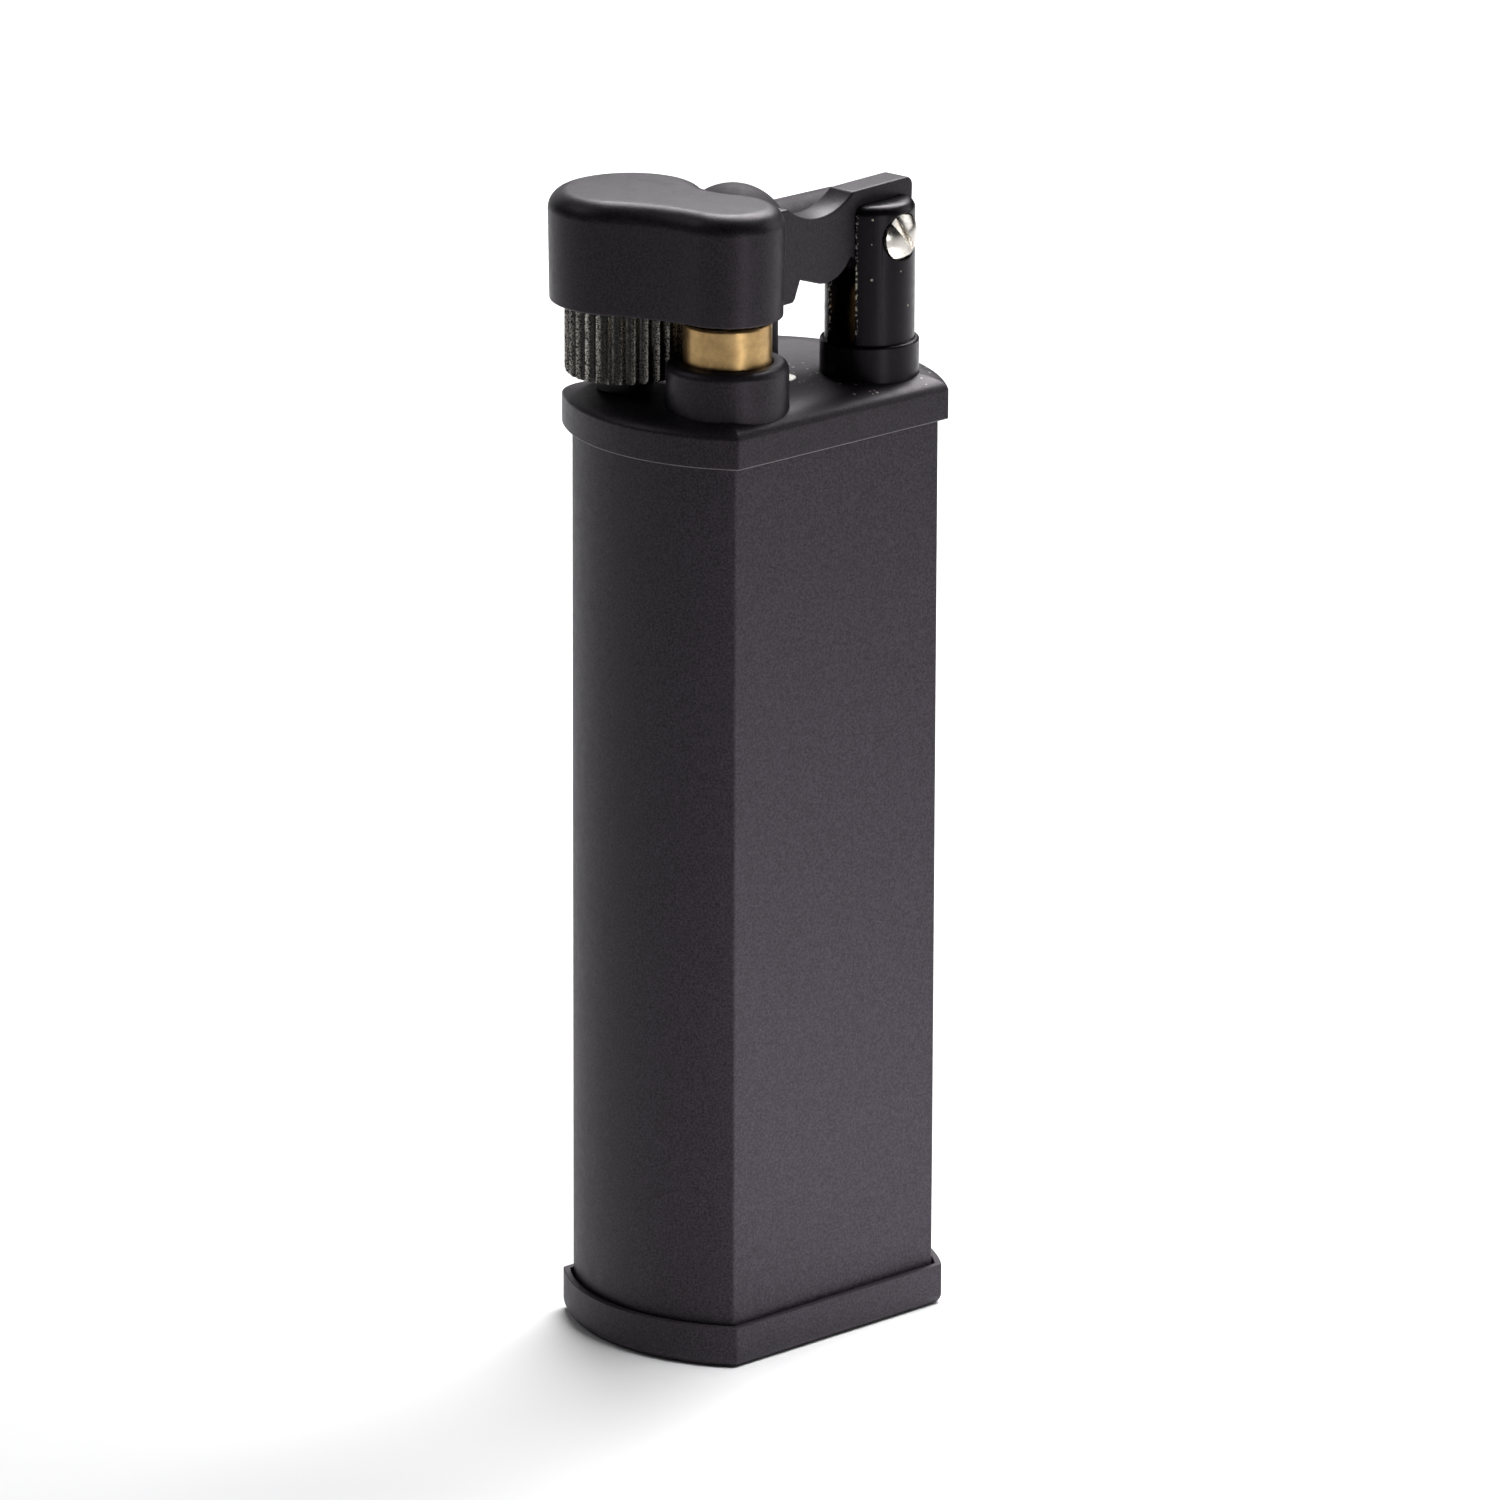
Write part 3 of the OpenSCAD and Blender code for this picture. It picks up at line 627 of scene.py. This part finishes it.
def make_top_cap():
    """Plate with a skirt, a rounded upper edge, and the seats of the parts on it."""
    skirt = low("top_cap", Z)
    ceiling = PLATE - 1.5
    wall = 0.55
    skirt_foot = rounded([(CROWN_REACH, ceiling, 0), (wall, ceiling, 0), (wall, skirt, 0.05),
                          (0, skirt, 0.08), (0, PLATE - CROWN_DROP, 0)])
    crown = [(CROWN_REACH * (1 - x), PLATE - CROWN_DROP * (1 - z))
             for x, z in arc((0, 0), 1, 0, 90, 24)]
    piece = loft("top_cap", section, skirt_foot + crown[1:])
    fit = 0.02  # play round what stands in a hole or a seat
    deep = 0.05  # room under a foot
    through = ((BURNER, HOUSING_STEM_R), (POST, POST_STEM_R), (TOWER, TOWER_STEM_R),
               (ROLLER, AXLE_R), (PIN, PIN_R))
    seats = ((BURNER, HOUSING_R, HOUSING_SEAT), (POST, COLLAR_R, FOOT_SEAT),
             (TOWER, PEDESTAL_R, FOOT_SEAT))
    cuts = [rod("hole", radius + fit, (*centre, PLATE - 2), (*centre, PLATE + PAST))
            for centre, radius in through]
    cuts += [rod("seat", radius + fit, (*centre, PLATE - depth - deep), (*centre, PLATE + PAST), ROUND)
             for centre, radius, depth in seats]
    combine(piece, cuts)
    add_piece(piece, "lighter_body", "matte_black", CAP_PAINT, "top_cap")


# ---------------------------------------------------------------- burner

def make_burner():
    """Housing ring, brass burner and nozzle."""
    bore = 2.69
    below = PLATE - 1.5
    seat = PLATE - HOUSING_SEAT
    rim = PLATE + 2.7
    housing = turned("burner_housing", [
        (bore, below, 0), (HOUSING_STEM_R, below, 0), (HOUSING_STEM_R, seat, 0),
        (HOUSING_R, seat, 0), (HOUSING_R, rim, 0.5), (bore, rim, 0.12)], BURNER, closed=True)
    add_piece(housing, "lighter_body", "matte_black", CAST_PAINT, "burner_housing")

    top = PLATE + 5.15
    foot = low("burner", Z)
    shoulder = PLATE - 0.3
    socket_r = 0.82
    socket_floor = top - 1.2
    brass_r = 2.64
    stem_r = 1.1
    passage = 0.4
    brass = turned("burner", [
        (socket_r, socket_floor, 0), (passage, socket_floor, 0), (passage, foot, 0),
        (stem_r, foot, 0), (stem_r, shoulder, 0), (brass_r, shoulder, 0.1), (brass_r, top, 0.22),
        (socket_r, top, 0)], BURNER, closed=True)
    add_piece(brass, "burner_valve", "brass", BRASS, "burner")

    jet = 0.25
    tip_r = 0.8
    flange_r = 1.1
    flange_top = top + 0.7
    tip = high("burner_nozzle", Z)
    nozzle = turned("burner_nozzle", [
        (jet, socket_floor, 0), (tip_r, socket_floor, 0), (tip_r, top, 0), (flange_r, top, 0.05),
        (flange_r, flange_top, 0.12), (tip_r, flange_top, 0.05), (tip_r, tip, 0.15),
        (jet, tip, 0.05)], BURNER, closed=True, steps=48)
    add_piece(nozzle, "burner_valve", "nickel", NICKEL, "burner_nozzle")


# ---------------------------------------------------------------- hinge post

# Distance of the pivot screw's seat from the post's axis
SCREW_SEAT = 2.25


def make_post():
    """Slotted post with its collar, and the plunger inside it."""
    foot = low("hinge_post", Z)
    top = high("hinge_post", Z)
    core = 0.2
    seat = PLATE - FOOT_SEAT
    collar_top = PLATE + 2.1
    piece = turned("hinge_post", [
        (core, foot, 0), (POST_STEM_R, foot, 0), (POST_STEM_R, seat, 0), (COLLAR_R, seat, 0.03),
        (COLLAR_R, collar_top, 0.16), (POST_R, collar_top, 0.04), (POST_R, top, 0.6),
        (core, top, 0)], POST)
    half = SLOT_WIDTH / 2
    beyond = 6  # further than the post's radius
    spot_y = POST.y - SCREW_SEAT
    cuts = [
        block("slot", (POST.x - beyond, POST.y - half, PLATE + 1.9),
              (POST.x + beyond, POST.y + half, top + 3)),
        rod("pivot_hole", 0.72, (PIVOT.x, POST.y - beyond, PIVOT.y),
            (PIVOT.x, POST.y + beyond, PIVOT.y)),
        rod("spot_face", 1.45, (PIVOT.x, spot_y - 4, PIVOT.y), (PIVOT.x, spot_y, PIVOT.y)),
    ]
    bore = rod("bore", 1.5, (*POST, foot - PAST), (*POST, PLATE + 7.2))
    combine(piece, [turned_with_arm(cut) for cut in cuts] + [bore])
    bevel(piece, 0.06, 2)
    add_piece(piece, "lighter_body", "gloss_black", ENAMEL, "hinge_post")

    plunger_r = 1.45
    spring_r = 1.2
    plunger_top = high("arm_plunger", Z)
    plunger_foot = low("arm_plunger", Z)
    pocket = PLATE + 3.4
    dome = arc((0, plunger_top - plunger_r), plunger_r, 0, 88, 16)
    profile = [(CORE, pocket), (spring_r, pocket), (spring_r, plunger_foot),
               (plunger_r, plunger_foot)] + dome
    plunger = loft("arm_plunger", circle(POST), profile)
    add_piece(plunger, "plunger", "brass", BRASS, "arm_plunger")


def make_pivot_screw():
    """Pan-head screw through the post, with its slot."""
    foot = 0.4 - POST_R
    shank_r = 0.7
    head_r = 1.4
    head_top = SCREW_SEAT + 0.7
    slot_half = 0.22
    slot_turn = -55
    shank = rounded([(0.05, foot, 0), (shank_r, foot, 0.08), (shank_r, SCREW_SEAT, 0),
                     (head_r, SCREW_SEAT, 0.04), (head_r, head_top - 0.42, 0)])
    dome_r = 2.54
    dome = arc((0, head_top - dome_r), dome_r, 56.6, 88.5, 12)
    piece = loft("pivot_screw", circle(), shank + dome)
    slot = block("slot", (-3, -slot_half, head_top - 0.4), (3, slot_half, head_top + PAST))
    slot.data.transform(Matrix.Rotation(math.radians(slot_turn), 4, "Z"))
    combine(piece, [slot])
    bevel(piece, 0.035, 2)
    lay_flat = Matrix.Rotation(math.radians(90), 4, "X")
    piece.data.transform(Matrix.Translation((PIVOT.x, POST.y, PIVOT.y)) @ lay_flat)
    turned_with_arm(piece)
    add_piece(piece, "lighter_body", "nickel", NICKEL, "pivot_screw")


# ---------------------------------------------------------------- lift arm

def arm_outline():
    """Side outline of the arm plate: hub, cam, end block, scoop, belly and web."""
    scoop = (0.53, PLATE + 15.27)
    scoop_r = 4.7
    belly = (1.09, PLATE + 9)
    top = PLATE + 11.58
    corner_r = 0.55
    web_low = PLATE + 5.77
    inside_head = BURNER.x + 1
    hub_r = 2.55
    cam_rise = 0.2  # millimetres a radian
    cam = []
    for angle in range(-90, 21, 5):
        reach = hub_r + cam_rise * math.radians(angle + 90)
        cam += arc(PIVOT, reach, angle, angle, 1)[:1]
    scoop_turn = math.degrees(math.asin((scoop[1] - top) / scoop_r))
    points = [(-1.25, PLATE + 7.05)]
    points += arc(belly, 2.59, -102.2, -30.7, 24)
    points += arc(PIVOT, hub_r, -151.5, -92, 16)
    points += cam
    points += arc((8.3, top - corner_r), corner_r, 0, 90, 8)
    points += arc(scoop, scoop_r, -scoop_turn, -180 + scoop_turn, 40)
    points += [(inside_head, top), (inside_head, web_low), (-1.9, web_low), (-1.71, web_low + 0.19)]
    return points


def dome_top(piece, from_z):
    """Domes the head's top by a fraction of a millimetre, as on a polished casting."""
    for vertex in piece.data.vertices:
        if vertex.co.z > from_z:
            away = (vertex.co.xy - HEAD_MIDDLE).length
            vertex.co.z -= HEAD_DOME * away ** 2


def make_arm():
    """Head and arm plate as one casting, hollowed for the snuffer pad and the flint wheel."""
    low_z = low("lift_arm", Z)
    top = high("lift_arm", Z)
    profile = rounded([(1.6, low_z, 0), (0.1, low_z, 0.12), (0, top, 1.15), (1.2, top, 0)], 9)
    profile += [(1.2 + step * 0.25, top) for step in range(1, 8)]
    piece = loft("lift_arm", head, profile + [(3.1, top)])
    dome_top(piece, low_z + 3)
    half = 0.95  # half the plate's thickness
    plate = prism("arm_plate", arm_outline(), POST.y - half, POST.y + half)
    bevel(plate, 0.13, 3, 30)
    combine(piece, [turned_with_arm(plate)], "UNION")
    pad_top = high("snuffer_pad", Z)
    pivot_hole = rod("pivot_hole", 0.75, (PIVOT.x, POST.y - 3, PIVOT.y),
                     (PIVOT.x, POST.y + 3, PIVOT.y))
    notch_half = 1.95
    below = low_z - PAST
    cuts = [
        turned_with_arm(pivot_hole),
        rod("snuffer_recess", 2.3, (*BURNER, below), (*BURNER, pad_top), ROUND),
        rod("wheel_recess", 3.4, (*ROLLER, below), (*ROLLER, PLATE + 10.4), ROUND),
        block("nose_notch", (ROLLER.x, FLINT.x - notch_half, below),
              (ROLLER.x + 5.5, FLINT.x + notch_half, PLATE + 9.35)),
    ]
    combine(piece, cuts)
    add_piece(piece, "arm", "matte_black", CAST_PAINT, "lift_arm")

    pad_low = low("snuffer_pad", Z)
    pad_r = 2.28
    pad = turned("snuffer_pad", [(CORE, pad_low, 0), (pad_r, pad_low, 0.12), (pad_r, pad_top, 0),
                                 (CORE, pad_top, 0)], BURNER)
    add_piece(pad, "arm", "black_rubber", RUBBER, "snuffer_pad")


# ---------------------------------------------------------------- roller, flint wheel and axle

FLUTES = 28
RIDGE_R = 3.55
TEETH = 30
TOOTH_DEPTH = 0.22


def round_roller(radius, angle):
    """Point at that radius and angle, in radians, round the roller's axis."""
    return ROLLER.x + radius * math.cos(angle), ROLLER.y + radius * math.sin(angle)


def fluted(radius):
    """Outline of the thumb roller: scooped flutes with narrow ridges between them."""
    scoop_r = 0.38
    scoop_at = RIDGE_R + 0.1
    steps = 14
    pitch = 360 / FLUTES
    points = []
    for step in range(FLUTES * steps):
        angle = 360 * step / (FLUTES * steps)
        off = math.radians(abs((angle + pitch / 2) % pitch - pitch / 2))
        depth = scoop_r ** 2 - (scoop_at * math.sin(off)) ** 2
        reach = scoop_at * math.cos(off) - math.sqrt(depth) if depth > 0 else RIDGE_R
        points.append(round_roller(min(reach, RIDGE_R, radius), math.radians(angle)))
    return points


def toothed(radius):
    """Outline of the flint wheel: pointed teeth."""
    points = []
    for step in range(2 * TEETH):
        reach = radius - (TOOTH_DEPTH if step % 2 else 0)
        points.append(round_roller(reach, math.pi * step / TEETH))
    return points


def make_roller():
    """Fluted thumb roller with the flint wheel on top of it, on their axle."""
    foot = low("thumb_roller", Z)
    top = high("thumb_roller", Z)
    bore_r = 0.8
    end_r = 2.4
    profile = [(end_r, foot), (3.27, foot), (3.37, foot + 0.02), (RIDGE_R, foot + 0.2),
               (RIDGE_R, top - 0.2), (3.37, top - 0.02), (3.27, top), (end_r, top)]
    roller = loft("thumb_roller", fluted, profile)
    combine(roller, [rod("bore", bore_r, (*ROLLER, foot - PAST), (*ROLLER, top + PAST))])
    add_piece(roller, "roller", "dark_nickel", ROLLER_METAL, "thumb_roller", angle=28)

    wheel_r = 2.6
    wheel_top = high("flint_wheel", Z)
    profile = [(2.5, top), (wheel_r, top + 0.12), (wheel_r, wheel_top - 0.12), (2.45, wheel_top)]
    wheel = loft("flint_wheel", toothed, profile)
    combine(wheel, [rod("bore", bore_r, (*ROLLER, top - PAST), (*ROLLER, wheel_top + PAST))])
    add_piece(wheel, "roller", "dark_nickel", WHEEL_METAL, "flint_wheel", angle=20)

    head_r = 1.5
    head_foot = wheel_top + 0.05
    head_top = high("roller_axle", Z)
    axle_foot = low("roller_axle", Z)
    axle = turned("roller_axle", [
        (CORE, axle_foot, 0), (AXLE_R, axle_foot, 0), (AXLE_R, head_foot, 0),
        (head_r, head_foot, 0.05), (head_r, head_top, 0.2), (CORE, head_top, 0)], ROLLER, steps=64)
    add_piece(axle, "lighter_body", "nickel", NICKEL, "roller_axle")


# ---------------------------------------------------------------- flint tower and tube

def make_tower():
    """Domed tower on its pedestal, with the flint tube through its head."""
    low_z = low("flint_tower", Z)
    top = high("flint_tower", Z)
    radius = 3.45
    seat = PLATE - FOOT_SEAT
    pedestal_top = PLATE + 2.9
    neck_top = PLATE + 4
    dome = arc((0, top - radius), radius, 0, 88, 32)
    stem = rounded([(CORE, low_z, 0), (TOWER_STEM_R, low_z, 0), (TOWER_STEM_R, seat, 0),
                    (PEDESTAL_R, seat, 0.03), (PEDESTAL_R, pedestal_top, 0.4),
                    (TOWER_STEM_R, pedestal_top, 0.1), (TOWER_STEM_R, neck_top, 0.1),
                    (radius - 0.6, neck_top, 0.12), (radius, PLATE + 4.6, 0.15),
                    (radius, top - radius, 0)])
    piece = loft("flint_tower", circle(TOWER), stem + dome[1:])
    nose_r = 1.75
    tube_r = 2
    fit = 0.02
    beyond = 8  # further than the tower's radius
    step_x = TOWER.x + radius - 0.8
    bore_end = (TOWER.x + beyond, *FLINT)
    combine(piece, [rod("nose_bore", nose_r + fit, (TOWER.x - beyond, *FLINT), bore_end),
                    rod("tube_bore", tube_r + fit, (step_x, *FLINT), bore_end)])
    bevel(piece, 0.07, 2)
    add_piece(piece, "lighter_body", "matte_black", DULL_PAINT, "flint_tower")

    inner_r = 1.25
    nose_x = low("flint_tube", X)
    end_x = high("flint_tube", X)
    tube = turned("flint_tube", [
        (inner_r, nose_x, 0), (nose_r, nose_x, 0.1), (nose_r, step_x, 0), (tube_r, step_x, 0.05),
        (tube_r, end_x, 0.15), (inner_r, end_x, 0.05)], closed=True)
    lay_along_x(tube)
    add_piece(tube, "lighter_body", "matte_black", DULL_PAINT, "flint_tube")

    thread_r = 1.2
    head_r = 1.85
    slot_half = 0.25
    front_x = low("flint_screw", X)
    rim_x = end_x + 0.05
    face_x = high("flint_screw", X)
    screw = turned("flint_screw", [
        (CORE, front_x, 0), (thread_r, front_x, 0.1), (thread_r, rim_x, 0), (head_r, rim_x, 0.05),
        (head_r, face_x, 0.2), (CORE, face_x, 0)])
    slot = block("slot", (-3, -slot_half, face_x - 0.4), (3, slot_half, face_x + PAST))
    combine(screw, [slot])
    bevel(screw, 0.05, 2)
    lay_along_x(screw)
    add_piece(screw, "flint_plug", "matte_black", DULL_PAINT, "flint_screw")


def lay_along_x(piece):
    """Turns a piece made round Z so that it lies along X on the flint's axis."""
    turn = Matrix.Rotation(math.radians(90), 4, "Y") @ Matrix.Rotation(math.radians(90), 4, "Z")
    piece.data.transform(Matrix.Translation((0, FLINT.x, FLINT.y)) @ turn)


# ---------------------------------------------------------------- small fittings

def make_fittings():
    """Pin on the plate, and the flame adjuster in the base."""
    pin_foot = low("cap_pin", Z)
    pin_top = high("cap_pin", Z)
    pin = turned("cap_pin", [(0.05, pin_foot, 0), (PIN_R, pin_foot, 0), (PIN_R, pin_top, 0.04),
                             (0.05, pin_top, 0)], PIN, steps=64)
    add_piece(pin, "lighter_body", "nickel", BRIGHT_PIN, "cap_pin")

    face = low("flame_adjuster", Z)
    head_r = 1.9
    head_top = 1.4
    thread_r = 1.2
    thread_top = 5
    slot_half = 0.35
    adjuster = turned("flame_adjuster", [
        (CORE, face, 0), (head_r, face, 0.15), (head_r, head_top, 0.05), (thread_r, head_top, 0),
        (thread_r, thread_top, 0.1), (CORE, thread_top, 0)], BURNER, steps=96)
    slot = block("slot", (BURNER.x - 3, BURNER.y - slot_half, face - PAST),
                 (BURNER.x + 3, BURNER.y + slot_half, face + 0.6))
    combine(adjuster, [slot])
    bevel(adjuster, 0.05, 2)
    add_piece(adjuster, "adjuster", "brass", BRASS, "flame_adjuster")


make_base_cap()
make_body_tube()
make_top_cap()
make_burner()
make_post()
make_pivot_screw()
make_arm()
make_roller()
make_tower()
make_fittings()


# ---------------------------------------------------------------- CAD nodes that stay

CAD_FINISH = {
    CASTING: ["mechanism_block"],
    NYLON: ["tank_shell", "tank_floor", "refill_pin"],
    # The roller washer is a black fibre washer, and its near-black also stands in for the shade under
    # the roller.
    RUBBER: ["tank_seal", "valve_oring", "stem_seal", "refill_gasket", "roller_washer"],
    BRASS: ["valve_body", "adjuster_rod", "adjuster_tube", "refill_valve_body", "post_plug",
            "flint_follower"],
    FELT: ["wick_filter"],
    SPRING: ["burner_spring", "refill_spring", "arm_spring", "flint_spring"],
    FLINT_ALLOY: ["flint"],
}
for material, names in CAD_FINISH.items():
    for name in names:
        for paint_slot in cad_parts[name].material_slots:
            paint_slot.material = material


# ---------------------------------------------------------------- floor, lights and camera

# Middle of the body, at which most lights aim, in metres
BODY_MIDDLE = (0, 0, 0.035)


def make_floor():
    """Plain pale floor."""
    tree = Tree("floor")
    cloud = tree.noise(60, 2)
    tree.fill(tree.shader, {
        "Base Color": tree.mixed(cloud, (0.86, 0.86, 0.87, 1), (0.89, 0.89, 0.895, 1)),
        "Roughness": 0.8,
        "Specular IOR Level": 0.1,
    })
    mesh = bpy.data.meshes.new("floor")
    reach = 3
    mesh.from_pydata([(-reach, -reach, 0), (reach, -reach, 0), (reach, reach, 0), (-reach, reach, 0)],
                     [], [(0, 1, 2, 3)])
    floor = bpy.data.objects.new("floor", mesh)
    bpy.context.scene.collection.objects.link(floor)
    mesh.materials.append(tree.material)


def make_light(name, place, size, power, aim=BODY_MIDDLE, spread=180):
    """Soft square area light aimed at a point, its spread in degrees."""
    lamp = bpy.data.lights.new(name, "AREA")
    lamp.shape = "SQUARE"
    lamp.size = size
    lamp.energy = power
    lamp.spread = math.radians(spread)
    holder = bpy.data.objects.new(name, lamp)
    holder.location = place
    holder.visible_camera = False
    holder.rotation_euler = (Vector(aim) - Vector(place)).to_track_quat("-Z", "Y").to_euler()
    bpy.context.scene.collection.objects.link(holder)


def make_world(level):
    """Even pale surroundings."""
    world = bpy.data.worlds.new("studio")
    world.use_nodes = True
    world.node_tree.nodes["Background"].inputs["Color"].default_value = (1, 1, 1, 1)
    world.node_tree.nodes["Background"].inputs["Strength"].default_value = level
    bpy.context.scene.world = world


def make_camera():
    """Long lens from the front left, a little above the lighter. Lengths are in metres."""
    azimuth = math.radians(43.5)
    elevation = math.radians(16.8)
    distance = 0.69
    aim = Vector((0, 0, 0.036))
    shift = (-0.255 * MM, -0.55 * MM)
    roll = 0.003
    right = Vector((math.cos(azimuth), -math.sin(azimuth), 0))
    forward = Vector((math.sin(azimuth) * math.cos(elevation),
                      math.cos(azimuth) * math.cos(elevation), -math.sin(elevation)))
    up = right.cross(forward)
    right_rolled = right * math.cos(roll) + up * math.sin(roll)
    up_rolled = up * math.cos(roll) - right * math.sin(roll)
    place = aim - forward * distance + right_rolled * shift[0] + up_rolled * shift[1]
    lens = bpy.data.cameras.new("camera")
    lens.sensor_width = 36
    lens.lens = 275.2
    lens.clip_start = 0.01
    lens.clip_end = 20
    camera = bpy.data.objects.new("camera", lens)
    turn = Matrix((right_rolled, up_rolled, -forward)).transposed().to_4x4()
    camera.matrix_world = Matrix.Translation(place) @ turn
    bpy.context.scene.collection.objects.link(camera)
    bpy.context.scene.camera = camera


make_floor()
make_world(0.005)
make_light("overhead", (0.26, 0.16, 0.42), size=0.34, power=4.2)
make_light("left_floor", (-0.35, 0.35, 0.5), size=0.3, power=0.42)
make_light("front_floor", (0.01, -0.06, 0.1), size=0.06, power=0.07, aim=(0.01, -0.06, 0), spread=70)
make_light("right_fill", (0.45, -0.2, 0.2), size=0.3, power=0.45)
make_light("front_card", (-0.08, -0.42, 0.02), size=0.06, power=0.2, aim=(0, 0, 0.065))
make_light("back", (0.2, 0.6, 0.2), size=0.4, power=0.3)
make_camera()
bpy.context.scene.view_settings.view_transform = "Standard"
